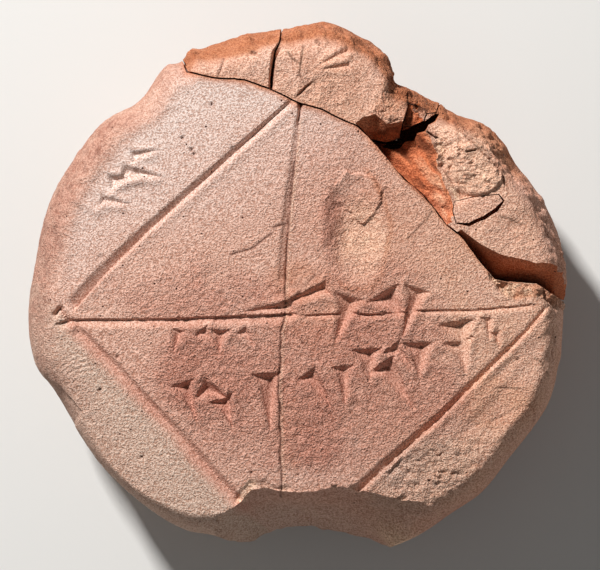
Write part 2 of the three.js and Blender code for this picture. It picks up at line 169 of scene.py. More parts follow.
def blank_mesh(fine):
    """Points and triangles of the whole bun, fine in front and coarser round to the back."""
    flat_count = round(SOFT_SHOULDER * DRAWN_WIDTH / 2 / fine)
    rings = [("face", step / flat_count, fine) for step in range(1, flat_count + 1)]
    turn, quarter = 0.0, math.pi / 2
    while turn < quarter:
        spacing = fine * (1 + (RIM_COARSER - 1) * turn / quarter)
        turn += spacing / math.hypot(SHOULDER_SPAN * math.cos(turn), SHOULDER_DROP * math.sin(turn))
        rings.append(("shoulder", min(turn, quarter), spacing))
    while turn > 0:
        spacing = fine * (RIM_COARSER + (BACK_COARSER - RIM_COARSER) * (1 - turn / quarter))
        turn -= spacing / math.hypot(DOME_SPAN * math.cos(turn), WIDEST_HEIGHT * math.sin(turn))
        rings.append(("dome", max(turn, 0), spacing))
    rings.append(("spot", 0.5, fine * BACK_COARSER))

    points, triangles = [np.array([[0, 0, THICKNESS]])], []
    total, last_first, last_count = 1, 0, 1
    for kind, turn, spacing in rings:
        reach = {"face": SOFT_SHOULDER * turn, "shoulder": 1, "dome": math.sin(turn), "spot": REST_SPOT / 2}
        count = max(8, round(math.pi * DRAWN_WIDTH * reach[kind] / spacing))
        angle = np.arange(count) * 2 * math.pi / count
        start, radius = shoulder_start(angle), rim_radius(angle)
        if kind == "face":
            fraction = start * turn
        elif kind == "shoulder":
            fraction = start + (1 - start) * math.sin(turn)
        elif kind == "dome":
            fraction = REST_SPOT + (1 - REST_SPOT) * math.sin(turn) + 0 * angle
        else:
            fraction = REST_SPOT * turn + 0 * angle
        x, y = fraction * radius * np.cos(angle), fraction * radius * np.sin(angle)
        z = obverse_height(x, y) if kind in ("face", "shoulder") else reverse_height(x, y)
        points.append(np.stack([x, y, z], axis=1))
        triangles.append(ring_stitch(last_first, last_count, total, count)[:, ::-1])
        last_first, last_count, total = total, count, total + count
    points.append(np.array([[0, 0, 0]]))
    triangles.append(ring_stitch(last_first, last_count, total, 1)[:, ::-1])
    triangles = np.concatenate(triangles)
    a, b, c = triangles.T
    return np.concatenate(points), triangles[(a != b) & (b != c) & (c != a)]


def outward(points, triangles):
    """Unit normals at the points."""
    a, b, c = (points[triangles[:, k]] for k in range(3))
    face = np.cross(b - a, c - a)
    normal = np.zeros_like(points)
    for k in range(3):
        np.add.at(normal, triangles[:, k], face)
    return normal / np.maximum(np.linalg.norm(normal, axis=1, keepdims=True), 1e-12)


def placed(name, data):
    """A new object in the scene."""
    made = bpy.data.objects.new(name, data)
    bpy.context.scene.collection.objects.link(made)
    return made


def as_object(name, points, faces, material):
    """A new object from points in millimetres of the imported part."""
    mesh = bpy.data.meshes.new(name)
    mesh.from_pydata((np.asarray(points) * MM).tolist(), [], [list(map(int, face)) for face in faces])
    mesh.validate()
    mesh.materials.append(material)
    return placed(name, mesh)


# ==== Clay, as skin and as fracture ====
# One clay all through, fired pale pink-grey on the wiped skin and brick orange inside. The skin is matt
# with a fine sandy grain; the inside is crumbly; the old break at the foot has weathered to grey-brown.


def hex_linear(text):
    """A colour written as sRGB hex, as the linear values that Blender works in."""
    channels = [int(text[i:i + 2], 16) / 255 for i in (0, 2, 4)]
    return [c / 12.92 if c <= 0.04045 else ((c + 0.055) / 1.055) ** 2.4 for c in channels] + [1]


def add_node(tree, kind, inputs=None, out=0, **settings):
    """Adds a shader node with its settings and its inputs, values or sockets, and returns one output."""
    made = tree.nodes.new("ShaderNode" + kind)
    for name, value in settings.items():
        setattr(made, name, value)
    for key, value in (inputs or {}).items():
        if isinstance(value, bpy.types.NodeSocket):
            tree.links.new(value, made.inputs[key])
        else:
            made.inputs[key].default_value = value
    return made.outputs[out]


# Sizes in millimetres: silt and sand in the clay, crumbs on broken faces, blotches of firing, and how far
# apart and wide the pin-holes of burnt-out chaff are. Real silt is finer, and too fine to show.
SILT, SAND, CRUMB, BLOTCH = 0.14, 0.26, 0.9, 4.0
CHAFF_SPACING, CHAFF_RADIUS, CHAFF_DEPTH = 2.3, 0.17, 0.1
# The pin-holes are filled with this dark brown as painted shade in them.
CHAFF_HOLE_SHADE = "4a2518"
# What a dark and a pale grain multiply the clay's colour by, and the noise at which each is full.
DARK_GRAIN, PALE_GRAIN = (0.7, 0.58, 0.52, 1), (1.2, 1.3, 1.34, 1)
ALL_DARK, ALL_PALE = 0.63, 0.87


def clay_material(name, colours, grain_height, crumb_height, roughness):
    """Fired clay: colours is its base and then (hex, mask, raggedness) washes, each laid over the last."""
    material = bpy.data.materials.new(name)
    material.use_nodes = True
    tree = material.node_tree
    node = functools.partial(add_node, tree)
    shader = tree.nodes["Principled BSDF"]
    place = node("TexCoord", out="Object")
    silt, sand, crumbs, blotches = (
        node("TexNoise", {"Vector": place, "Scale": 1 / (size * MM), "Detail": detail}, "Fac")
        for size, detail in ((SILT, 1), (SAND, 2), (CRUMB, 3), (BLOTCH, 4))
    )
    lumps = node("Math", {0: sand, 1: crumbs}, operation="ADD")
    stains = node("Math", {0: blotches, 1: 2, 2: -2}, operation="MULTIPLY_ADD")
    mottle = node("Math", {0: lumps, 1: stains}, operation="ADD")
    base, *washes = colours
    colour = hex_linear(base)
    for text, mask, raggedness in washes:
        # A wash is ragged where it thins out, and whole where its mask is full or empty.
        amount = node("Attribute", out="Fac", attribute_name=mask)
        bare = node("Math", {0: 1.25, 1: amount}, operation="SUBTRACT")
        room = node("Math", {0: amount, 1: bare}, operation="MULTIPLY")
        tatter = node("Math", {0: mottle, 1: room}, operation="MULTIPLY")
        ragged = node("Math", {0: tatter, 1: raggedness, 2: amount}, operation="MULTIPLY_ADD")
        cover = node("Clamp", {"Value": ragged})
        colour = node("Mix", {6: colour, 7: hex_linear(text), "Factor": cover}, 2, data_type="RGBA")
    # Each grain is either redder and darker or creamier and paler than the clay around it.
    grains = node("Math", {0: silt, 1: 0.5, 2: sand}, operation="MULTIPLY_ADD")
    pale_grain = node("MapRange", {"Value": grains, "From Min": ALL_DARK, "From Max": ALL_PALE})
    tone = node("Mix", {6: DARK_GRAIN, 7: PALE_GRAIN, "Factor": pale_grain}, 2, data_type="RGBA")
    toned = node("VectorMath", {0: colour, 1: tone}, operation="MULTIPLY")
    chaff = node("TexVoronoi", {"Vector": place, "Scale": 1 / (CHAFF_SPACING * MM)}, "Distance")
    hole_edge = CHAFF_RADIUS / CHAFF_SPACING
    solid = node("MapRange", {"Value": chaff, "From Min": hole_edge * 0.6, "From Max": hole_edge})
    # Inside each pin-hole the clay's colour gives way to painted shade.
    hole_shaded = node("Mix", {6: hex_linear(CHAFF_HOLE_SHADE), 7: toned, "Factor": solid}, 2, data_type="RGBA")
    tree.links.new(hole_shaded, shader.inputs["Base Color"])
    # The relief: silt and sand everywhere, deeper where the skin is rough, and crumbs and clefts there.
    rough = node("Attribute", out="Fac", attribute_name="grain")
    cells = node("TexVoronoi", {"Vector": place, "Scale": 1 / (CRUMB * 0.6 * MM)}, "Distance")
    worn = node("Math", {0: rough, 1: 1.5, 2: 0.3}, operation="MULTIPLY_ADD")
    fine = node("Math", {0: grains, 1: worn}, operation="MULTIPLY")
    fine = node("Math", {0: fine, 1: grain_height}, operation="MULTIPLY")
    clefts = node("Math", {0: cells, 1: -0.45, 2: crumbs}, operation="MULTIPLY_ADD")
    coarse = node("Math", {0: clefts, 1: rough}, operation="MULTIPLY")
    height = node("Math", {0: coarse, 1: crumb_height, 2: fine}, operation="MULTIPLY_ADD")
    height = node("Math", {0: solid, 1: CHAFF_DEPTH, 2: height}, operation="MULTIPLY_ADD")
    relief = node("Bump", {"Height": height, "Strength": 1, "Distance": MM})
    tree.links.new(relief, shader.inputs["Normal"])
    shader.inputs["Roughness"].default_value = roughness
    shader.inputs["Specular IOR Level"].default_value = 0.25
    return material


# Wiped skin: pinkish tan, ashen where salts have dried on it, red where it has worn through. It reads as
# a dry, dead matt surface with a fine sandy tooth.
# Its dark wash is painted shade with some dirt, and its pale wash also paints a highlight along the mend's
# right edge.
clay_skin = clay_material("wiped_clay_skin", [
    "d4a692", ("d7bdb1", "ashen", 0.3), ("cdaf9c", "buff", 0.6), ("bf7853", "orange", 1.3),
    ("c88d79", "red", 1.5), ("54291b", "grime_and_shade", 1.1), ("efc8a9", "pale", 0.8),
], 0.33, 0.5, 0.92)
# Inside of the clay: brick orange and crumbly, paler on its ridges and darkened in its clefts by painted
# shade, so a fresh break glows beside the skin.
orange_fracture = clay_material("orange_clay_fracture", [
    "c97650", ("c99b85", "ashen", 1.1), ("c4937a", "buff", 1.1), ("c0602f", "orange", 1.1),
    ("94492f", "red", 1.1), ("220e08", "grime_and_shade", 1.1), ("e3ab88", "pale", 1.1),
], 0.26, 0.5, 0.95)
# Old break: weathered grey-brown and worn smooth, duller than anything round it.
# Its dark wash is painted shade with some dirt, as on the skin.
grey_break = clay_material("weathered_grey_break", [
    "a67e6a", ("af8a76", "ashen", 1.1), ("ac886f", "buff", 1.1), ("a87258", "orange", 1.1),
    ("92685a", "red", 1.1), ("3a261e", "grime_and_shade", 1.1), ("d0b49c", "pale", 1.1),
], 0.14, 0.35, 0.95)


# ==== Drawn lines and pressed strokes ====
# The pupil ruled a square and its diagonals with a stick and pressed wedges with a cut reed while the
# clay was soft, so each mark has one steep wall and a little clay pushed up beside it.

# Each line: its plan route, its width at both ends, its depth where it is widest, where its deepest line
# lies at both ends from -1 (right) to 1 (left), and the lip of clay pushed up on its right and left.
DRAWN_LINES = [
    ([(-0.6, 26.7), (-12.5, 16.2), (-22, 7.9), (-29.2, 1), (-33.3, -3.6)], (1.2, 1.9), 0.95, (-0.25, 0.75),
     0.02, 0.1),
    ([(-32.9, -6.2), (-28.8, -10.3), (-18.8, -20.8), (-15.6, -24.5), (-8.4, -32.4)], (2.2, 2.7), 0.75,
     (0.35, 0.35), 0.12, 0.06),
    ([(36.4, -3), (33, -6.9), (27.2, -12.6), (20.1, -19.6), (12.8, -25.9), (7.6, -30.6)], (0.8, 1.7), 1.0,
     (0.3, 0.65), 0.02, 0.2),
    ([(15.6, -25.2), (12.8, -28.2)], (1.2, 1.2), 0.35, (-0.4, -0.4), 0.05, 0.15),
    ([(-0.1, 25), (-0.3, 22.9), (-0.8, 18.4), (-1.4, 14), (-1.75, 10.3), (-2.2, 4.6), (-2.4, -0.4)],
     (0.7, 1.6), 0.8, (0.6, 0.75), 0.02, 0.06),
    ([(0.25, 27.2), (0.3, 25.8), (0.15, 24.2), (0.05, 22.4)], (1.2, 0.3), 1.5, (0.1, 0.1), 0.02, 0.03),
    ([(-35.6, -6.5), (-33, -5.7), (-18.6, -5.7), (-7.7, -5.3), (0.3, -4.9)], (1.4, 1.7), 0.62, (0.6, 0.7),
     0.05, 0.03),
    ([(0.3, -4.9), (7.8, -4.5), (10.5, -4.8), (17.6, -4.1), (25.7, -4), (34.5, -3.2)], (0.9, 0.8), 0.42,
     (0.5, 0.4), 0.03, 0.02),
    ([(-35.7, -4.9), (-34.2, -3.3)], (1.3, 1.2), 0.95, (0.3, 0.3), 0.08, 0.05),
    ([(-34.6, -3.2), (-32.6, -5.9)], (1.0, 0.7), 0.4, (-0.5, -0.5), 0.03, 0.14),
]
# Each row: first and last head, how many, head width, length, direction and its swing in degrees, depth.
STROKE_ROWS = [
    ((-28.4, 12.4), (-24.2, 18.4), 4, 2.4, 5.4, 6, 10, 0.75),
    ((-17.2, -6.4), (-8.2, -6.6), 4, 3.0, 4.2, -72, 24, 0.9),
    ((-0.4, -3.2), (4.6, -0.8), 2, 3.2, 8.0, -166, 6, 1.2),
    ((7.6, -1.6), (17.0, -1.0), 3, 5.0, 6.8, -80, 24, 1.5),
    ((10.2, -9.4), (17.2, -8.4), 3, 4.6, 4.8, -70, 16, 1.2),
    ((-16.6, -14.4), (-11.0, -16.4), 3, 3.4, 5.4, -46, 26, 1.3),
    ((-4.6, -13.2), (12.2, -11.8), 4, 4.2, 7.4, -74, 16, 1.3),
    ((22.8, -5.8), (23.4, -8.6), 2, 5.2, 4.6, -80, 5, 1.2),
    ((27.2, -5.4), (28.4, -7.0), 2, 1.6, 3.6, -84, 6, 0.6),
]


def line_place(x, y, route):
    """Signed distance to the left of a plan route, and how far along it, for plan points."""
    best, side, place, done = np.full(len(x), 1e9), np.zeros(len(x)), np.zeros(len(x)), 0.0
    for (x0, y0), (x1, y1) in zip(route, route[1:]):
        length = math.hypot(x1 - x0, y1 - y0)
        ux, uy = (x1 - x0) / length, (y1 - y0) / length
        run = np.clip((x - x0) * ux + (y - y0) * uy, 0, length)
        dx, dy = x - x0 - run * ux, y - y0 - run * uy
        away = np.hypot(dx, dy)
        nearer = away < best
        best = np.where(nearer, away, best)
        side = np.where(nearer, np.sign(ux * dy - uy * dx), side)
        place = np.where(nearer, done + run, place)
        done += length
    return best * side, place, done


def bump(value, width):
    return np.exp(-(value / width) ** 2)


def smooth(value, low, high):
    t = np.clip((value - low) / (high - low), 0, 1)
    return t * t * (3 - 2 * t)


def near(points, route, margin):
    """Which points lie in the plan box of a route, widened by a margin."""
    low, high = np.min(route, axis=0) - margin, np.max(route, axis=0) + margin
    return np.all((points[:, :2] > low) & (points[:, :2] < high), axis=1)


def across_line(points, route, widths, leans):
    """Beside a drawn line: how far to its left, how far along, its length, half width and lowest line."""
    away, place, length = line_place(points[:, 0], points[:, 1], route)
    away = away + 0.02 * noise(points, 1.4, 11) + 0.07 * noise(points, 6, 14)
    half = np.interp(place / length, (0, 1), widths) / 2 * (1 + 0.08 * noise(points, 5, 13))
    return away, place, length, half, np.interp(place / length, (0, 1), leans) * half


def groove(points, route, widths, depth, leans, right_lip, left_lip):
    """Relief of one drawn line: a worn V with its lowest line off centre, and a lip on each side."""
    relief, close = np.zeros(len(points)), near(points, route, max(widths) + 1)
    here = points[close]
    away, place, length, half, lowest = across_line(here, route, widths, leans)
    wall = np.where(away > lowest, (half - away) / (half - lowest), (half + away) / (half + lowest))
    wall = np.clip(wall, 0, 1)
    drag = 0.05 * noise(np.column_stack([away / 0.45, place / 6, 0 * away]), 1, 15)
    full_depth = depth * 2 * half / max(widths) * (1 + 0.15 * noise(here, 3.5, 12))
    lip = np.where(away > 0, left_lip, right_lip) * bump(np.abs(away) - half - 0.25, 0.55)
    taper = min(1.4, 0.3 * length)
    ends = smooth(place, -0.1, taper) * smooth(length - place, -0.1, taper)
    relief[close] = (lip - (full_depth + drag * wall) * wall) * ends
    return relief


def crack(points, route, width, depth):
    return groove(points, route, (width, width), depth, (0, 0), 0.02, 0.02)


# How far a point may slide to meet a line: under half the spacing of the mesh, so that none cross.
SLIDE_REACH = 0.11


def slid_to(points, lines):
    """Slides points of the face sideways onto the edges and lowest lines of marks, to draw them sharp."""
    points, nudge = points.copy(), 0.02
    for route, widths, leans in lines:
        close = near(points, route, max(widths)) & (points[:, 2] > WIDEST_HEIGHT)
        here = points[close]
        away, _, _, half, lowest = across_line(here, route, widths, leans)
        turn_x = (across_line(here + (nudge, 0, 0), route, widths, leans)[0] - away) / nudge
        turn_y = (across_line(here + (0, nudge, 0), route, widths, leans)[0] - away) / nudge
        move = np.zeros(len(here))
        for edge in ((half, -half, lowest) if max(widths) > 0.5 else (lowest,)):
            move = np.where(np.abs(edge - away) < SLIDE_REACH, edge - away, move)
        move *= np.hypot(turn_x, turn_y) < 1.5
        here[:, 0] += move * turn_x
        here[:, 1] += move * turn_y
        points[close] = here
    return points


BACK_WALL_SLOPE = 1.3


def pressed(points, head, angle, width, length, depth):
    """Relief of one pressed wedge: a broad head with a steep back, and a tail that runs out."""
    tail = (head[0] + length * math.cos(angle), head[1] + length * math.sin(angle))
    relief, close = np.zeros(len(points)), near(points, [head, tail], width + 1)
    here = points[close]
    x, y = here[:, 0] - head[0], here[:, 1] - head[1]
    u = x * math.cos(angle) + y * math.sin(angle) + 0.08 * noise(here, 1.7, 22)
    v = y * math.cos(angle) - x * math.sin(angle) + 0.06 * noise(here, 1.5, 21)
    head_half = np.clip(width / 2 - 0.9 * u, 0, None)
    tail_half = 0.34 * width * np.clip(1 - u / length, 0, 1) ** 0.8
    half = np.maximum(head_half, tail_half)
    ridge = 0.25 * tail_half * np.sign(math.cos(angle) + 0.5)
    head_wall = (head_half - np.abs(v)) * 2 * depth / width
    tail_wall = (tail_half - np.abs(v - ridge)) * 2.6 * depth / width
    side_wall = np.clip(np.maximum(head_wall, tail_wall), 0, depth)
    back_wall = np.clip((u + 0.2) * BACK_WALL_SLOPE, 0, depth)
    lip = 0.2 * bump(np.abs(v) - half - 0.35, 0.55) * smooth(u, -0.9, 0.2) * smooth(length - u, 0, 1.5)
    relief[close] = lip - np.minimum(side_wall, back_wall)
    return relief


def waver(i, k):
    """A fixed, uneven number from -1 to 1 for the i-th of a row."""
    return math.sin(12.9898 * i + 4.1414 * k * (i + 1) + 1.7 * k)


def stroke_relief(points):
    relief = np.zeros(len(points))
    for row, (first, last, count, width, length, direction, swing, depth) in enumerate(STROKE_ROWS):
        for i in range(count):
            t = i / (count - 1)
            head = (
                first[0] + (last[0] - first[0]) * t + 0.3 * waver(i, row + 1),
                first[1] + (last[1] - first[1]) * t + 0.35 * waver(i, row + 2),
            )
            angle = math.radians(direction + (swing if i % 2 else -swing) + 5 * waver(i, row + 3))
            scale = 1 + 0.22 * waver(i, row + 4)
            reach = length * (1 + 0.2 * waver(i, row + 5))
            mark = pressed(points, head, angle, width * scale, reach, depth * scale)
            relief = np.where(mark < 0, np.minimum(relief, mark), relief + mark)
    return relief


def drawn_relief(points):
    lines = sum(groove(points, *line) for line in DRAWN_LINES)
    strokes = stroke_relief(points)
    return np.where((lines < 0) & (strokes < 0), np.minimum(lines, strokes), lines + strokes)


# ==== Main body ====
# The largest piece of the tablet. Its skin was wiped smooth when wet; it has since scuffed, pitted and
# flaked, lost a bite at the foot, and was glued along a hairline below the middle.

TOP_LEFT_CRACK = [
    (-18.5, 36.5), (-16.6, 32), (-16.1, 30.8), (-13.4, 30.1), (-8, 29.5), (-4, 28.3), (-1.2, 26.8),
    (0, 26.3),
]
TOP_CRACK = [(0, 26.3), (3.1, 25.4), (6.8, 23.7), (8.6, 22.9), (10.4, 21.1), (12.2, 19)]
BODY_EDGE = [
    (12.2, 19), (14.6, 16.2), (19.4, 11.4), (21.5, 8.6), (23.3, 7.2), (26, 3.8), (28.6, 0.7),
    (30.4, 0.3), (34.7, 0.1), (36.6, -1.1), (42, -4),
]
FAR_CORNER = [(60, -6), (60, 60), (-40, 60)]
CRACK_WIDTH = 0.26

# The glued hairline, and fine cracks and scratches: route, width, depth.
MEND = [
    (0.2, 25.4), (0.06, 23.7), (-0.4, 18.5), (-0.9, 14), (-1.2, 10.3), (-1.7, 4.6), (-1.9, -0.6), (-1.8, -3),
    (-2.0, -5.4), (-2.5, -7), (-2.4, -8.4), (-2.6, -9.6), (-2.5, -11.4), (-2.8, -13.5), (-2.9, -16),
    (-2.55, -17.8), (-2.7, -20), (-2.5, -22), (-2.6, -25.4), (-2.35, -27.4), (-2.4, -31),
]
FINE_CRACKS = [
    (MEND, 0.35, 0.2),
    ([(-9.9, 4.2), (-6.5, 5.2), (-3.8, 7.4)], 0.35, 0.15),
    ([(-3.6, 8.2), (-1.4, 8.8)], 0.35, 0.2),
    ([(19.3, 10.4), (18.4, 9), (17.6, 8.2), (15.9, 6.6)], 0.3, 0.1),
    ([(-0.2, -1.6), (2.4, 1.3)], 0.4, 0.1),
    ([(11.9, 13.0), (12.8, 14.0)], 0.4, 0.2),
    ([(28.3, -15.1), (32.2, -15.2)], 0.4, 0.15),
    ([(34.2, -10.6), (35.6, -11.6), (36.4, -13.6)], 0.4, 0.15),
    ([(-4.7, 27.4), (-5.3, 24)], 0.5, 0.08),
    ([(37, -6.4), (37.6, -8.4), (37.1, -10.6)], 0.6, 0.25),
    ([(33.6, -17.4), (34.6, -19.4), (34.2, -21.6)], 0.6, 0.2),
    ([(27.6, -20.4), (31.4, -18.4)], 0.7, 0.2),
]
# The bite at the foot: points along its upper edge on the face, and below each on the back.
LOWER_BREAK = [
    ((-12.3, -37), (-12.8, -38.7)), ((-10.7, -33.2), (-9.4, -38.3)), ((-8.7, -31.6), (-7.2, -38.4)),
    ((-6.6, -29.4), (-4.8, -37.3)), ((-2.5, -29.8), (-1.8, -36.2)), ((1.7, -29.7), (1.7, -36.1)),
    ((6.5, -29.4), (6.2, -37.2)), ((9.5, -30.3), (10, -38.1)), ((12.4, -31), (13.1, -38.6)),
    ((17, -31.4), (15.5, -39.2)), ((19.8, -33), (18.7, -37.4)), ((23.2, -35), (23.6, -35.6)),
]
# The scooped hollow, an oval with one steep side, and the flake that has lifted at its upper end.
HOLLOW_MIDDLE, HOLLOW_HALF_WIDTH, HOLLOW_HALF_HEIGHT, HOLLOW_DEPTH = (8.3, 7.6), 5.2, 9.0, 1.5
HOLLOW_FLAKE = [
    (7, 16.4), (10.6, 15.2), (12.3, 13.4), (11.4, 10.7), (9.7, 8.8), (7.4, 10.3), (6, 12.1), (5.2, 14.3),
]
# Where the corner by the right-hand sherd has torn away, and a chip off the rim at the left.
TORN_CORNER = [
    (27.4, 1.6), (30.4, 2), (35, 2), (44, 1), (44, -6), (38.2, -3.8), (34.8, -2.3), (31.4, -2.1),
    (28.6, -0.6),
]
LEFT_CHIP = [(-38, -14), (-35, -15.2), (-31.6, -18.6), (-34, -22)]
# A nail's arc on the upper left rim, and single pin-holes.
NAIL_ARC = [(-33, 12.5), (-31, 11.4), (-28.6, 10)]
PIN_HOLES = [
    (-15.5, 19.4), (-15.1, 18.8), (-16.8, 21.1), (-12.6, 26), (-26.2, -10.6), (-28.8, -15.4),
    (-22.6, -25.1), (31.9, -11), (2.7, 35.3), (3.1, 34.9), (-6.7, 33.7), (-6.3, 33.5), (0.5, 36.1),
]


def plate(x, y, corners, edge):
    """1 inside a plan polygon and 0 outside, over a soft edge of that width."""
    closed = corners + corners[:1]
    within = np.zeros(len(x), bool)
    for (x0, y0), (x1, y1) in zip(closed, closed[1:]):
        crosses = (y0 > y) != (y1 > y)
        within ^= crosses & (x < x0 + (y - y0) * (x1 - x0) / (y1 - y0 + 1e-12))
    away = np.abs(line_place(x, y, closed)[0])
    return smooth(np.where(within, away, -away), -edge / 2, edge / 2)


def oval(x, y, centre, half_x, half_y, turn=0.0):
    """How far out of a plan oval points lie: 0 in its middle and 1 on its edge."""
    c, s = math.cos(math.radians(turn)), math.sin(math.radians(turn))
    u = ((x - centre[0]) * c + (y - centre[1]) * s) / half_x
    v = ((y - centre[1]) * c - (x - centre[0]) * s) / half_y
    return np.hypot(u, v)


def patch(*place):
    """1 in the middle of a plan oval, fading to 0 outside it."""
    return 1 - smooth(oval(*place), 0.5, 1.3)


def front_share(z):
    """0 on the back and 1 on the face, changing over above the widest line."""
    return smooth(z, WIDEST_HEIGHT - 2, WIDEST_HEIGHT + 6)


def jagged(points, amount, size, seed):
    """Plan places that wander, so that an outline laid on them comes out jagged."""
    return (points[:, k] + amount * noise(points, size, seed + k) for k in (0, 1))


GOLDEN_ANGLE = 2.39996


def pits(points, count, seed, size, depth, spread=34.0):
    """Scattered pits, on an even spiral."""
    relief = np.zeros(len(points))
    for i in range(count):
        angle, reach = i * GOLDEN_ANGLE + seed, spread * math.sqrt((i + 0.5) / count)
        astray_x, astray_y = 2 * waver(i, seed), 2 * waver(i, seed + 1)
        spot = (reach * math.cos(angle) + astray_x, reach * math.sin(angle) + astray_y)
        radius = size * (1 + 0.6 * waver(i, seed + 2))
        close = near(points, [spot], radius * 3)
        away = np.hypot(points[close, 0] - spot[0], points[close, 1] - spot[1])
        relief[close] -= depth * (1 + 0.5 * waver(i, seed + 3)) * bump(away, radius)
    return relief


def pin_holes(points):
    relief = np.zeros(len(points))
    for spot in PIN_HOLES:
        close = near(points, [spot], 0.8)
        away = np.hypot(points[close, 0] - spot[0], points[close, 1] - spot[1])
        relief[close] -= 0.5 * bump(away, 0.22)
    return relief


# A fingerprint at the left, its ridges drawn a little wider than the real 0.45 mm so that they show.
PRINT_PLACE, PRINT_RIDGES = (-32.6, -12), 0.7


def lower_right_band(x, y):
    """1 on the strip outside the lower right line."""
    ruled = DRAWN_LINES[2][0]
    return smooth(line_place(x, y, [ruled[0], ruled[-1]])[0], 1.0, 2.5) * (y < 0)


def edge_chips(points):
    """0 to 1 where the face has chipped back along the upper edge of the bite."""
    away = np.abs(line_place(points[:, 0], points[:, 1], [top for top, _ in LOWER_BREAK])[0])
    return smooth(0.1 + noise(points, 1.4, 46) - away / 1.3, 0, 0.4) * (points[:, 1] < -20)


def crumbly(points, size, seed):
    """Rounded crumbs with sharp clefts between them: 0 in a cleft and up to about 1 on a crumb."""
    return sum(np.abs(noise(points, size / 1.9 ** k, seed + k)) * 0.6 ** k for k in range(3))


def rim_place(points):
    """Direction from the middle in degrees, and how far out, wandering a little."""
    x, y = points[:, 0], points[:, 1]
    return np.degrees(np.arctan2(y, x)) % 360, rim_fraction(x, y) + 0.03 * noise(points, 7, 71)


def left_edge(points):
    """0 to 1 on the pitted rim at the left, whose colour the masks darken as painted shade."""
    angle, fraction = rim_place(points)
    return smooth(fraction, 0.82, 0.93) * bump(angle - 158, 50)


def torn_corner(points, edge):
    return plate(*jagged(points, 0.5, 1.6, 39), TORN_CORNER, edge)


def hollow_spread(points):
    """How far out of the scooped hollow points lie, its edge wandering."""
    spread = oval(points[:, 0], points[:, 1], HOLLOW_MIDDLE, HOLLOW_HALF_WIDTH, HOLLOW_HALF_HEIGHT)
    return spread + 0.12 * noise(points, 3.5, 31)


# Where the pale skin has worn through to redder clay: middle, half width and height, how far.
WORN_PLACES = [
    ((-2, -15), 20, 13, 0.7), ((-12, -13), 10, 8, 0.95), ((2.5, -19), 6.5, 9, 0.95), ((12, -8), 9, 6.5, 0.8),
    ((18, -16), 7, 7, 0.65), ((-12, -1.8), 15, 4.5, 0.5), ((5.2, 8.5), 2.4, 7, 0.7), ((9, 0), 8, 4, 0.45),
    ((5, 13), 9, 13, 0.15),
]


def strongest(x, y, places):
    """The strongest of several soft ovals, each given as a place and then how far it goes."""
    return np.maximum.reduce([far * patch(x, y, *place) for *place, far in places])


def worn_red(points):
    """0 to 1 where the pale skin has worn through to redder clay."""
    x, y = jagged(points, 2.2, 7, 61)
    return strongest(x + 0.8 * noise(points, 2.5, 63), y + 0.8 * noise(points, 2.5, 64), WORN_PLACES)


def body_relief(points):
    """How far the body's skin stands above the blank."""
    x, y = points[:, 0], points[:, 1]
    drawn = drawn_relief(points)
    relief = 0.14 * noise(points, 14, 1) + 0.05 * noise(points, 4, 2)
    worn = worn_red(points) * (1 - smooth(-drawn, 0.03, 0.25))
    relief += (0.03 + 0.15 * worn) * crumb(points, 0.8, 3)
    marks = drawn + sum(crack(points, *line) for line in FINE_CRACKS)
    hollow_left, hollow_right = (HOLLOW_MIDDLE[0] + side * HOLLOW_HALF_WIDTH for side in (-1, 1))
    gentle_side = smooth(x, hollow_left, hollow_right)
    sunk = 1 - smooth(hollow_spread(points), 0.38 - 0.05 * gentle_side, 1.0)
    marks -= HOLLOW_DEPTH * sunk * (1 - 0.45 * gentle_side + 0.12 * crumb(points, 1.4, 32))
    marks += 0.4 * plate(*jagged(points, 0.3, 1.2, 33), HOLLOW_FLAKE, 0.25)
    marks += pin_holes(points) + pits(points, 9, 5, 0.22, 0.4)
    lumpy = patch(x, y, (17.5, -28), 7, 4.5, 20) + 0.6 * patch(x, y, (24, -25), 8, 4, 40)
    marks += lumpy * (0.48 * crumbly(points, 1.5, 35) - 0.35)
    # Smears of the hand that wiped the strip beside the lower right line.
    across, along = (x + y) / math.sqrt(2), (x - y) / math.sqrt(2)
    smears = noise(np.column_stack([across / 7, along / 1.3, 0 * x]), 1, 36)
    marks += 0.2 * smears * lower_right_band(x, y)
    whorl = np.hypot(x - PRINT_PLACE[0] - 3, y - PRINT_PLACE[1] + 6)
    marks += 0.08 * np.sin(2 * math.pi * whorl / PRINT_RIDGES) * patch(x, y, PRINT_PLACE, 3.2, 2.4)
    marks -= 0.35 * edge_chips(points)
    marks += torn_corner(points, 0.5) * (1.5 * crumbly(points, 2.4, 37) - 1.4)
    marks += 0.3 * left_edge(points) * (crumbly(points, 1.5, 48) - 0.7)
    marks += 0.22 * bump(line_place(x, y, NAIL_ARC)[0], 0.6) * patch(x, y, NAIL_ARC[1], 3.2, 3)
    marks -= 0.45 * plate(x + 0.3 * noise(points, 1.3, 38), y, LEFT_CHIP, 0.5)
    return relief + front_share(points[:, 2]) * marks - SKIN_SLACK


# A fracture wall has points this far apart along and up it, and none added this far from the middle.
WALL_STEP, WALL_LEVEL, WALL_LIMIT = 0.45, 0.6, 42


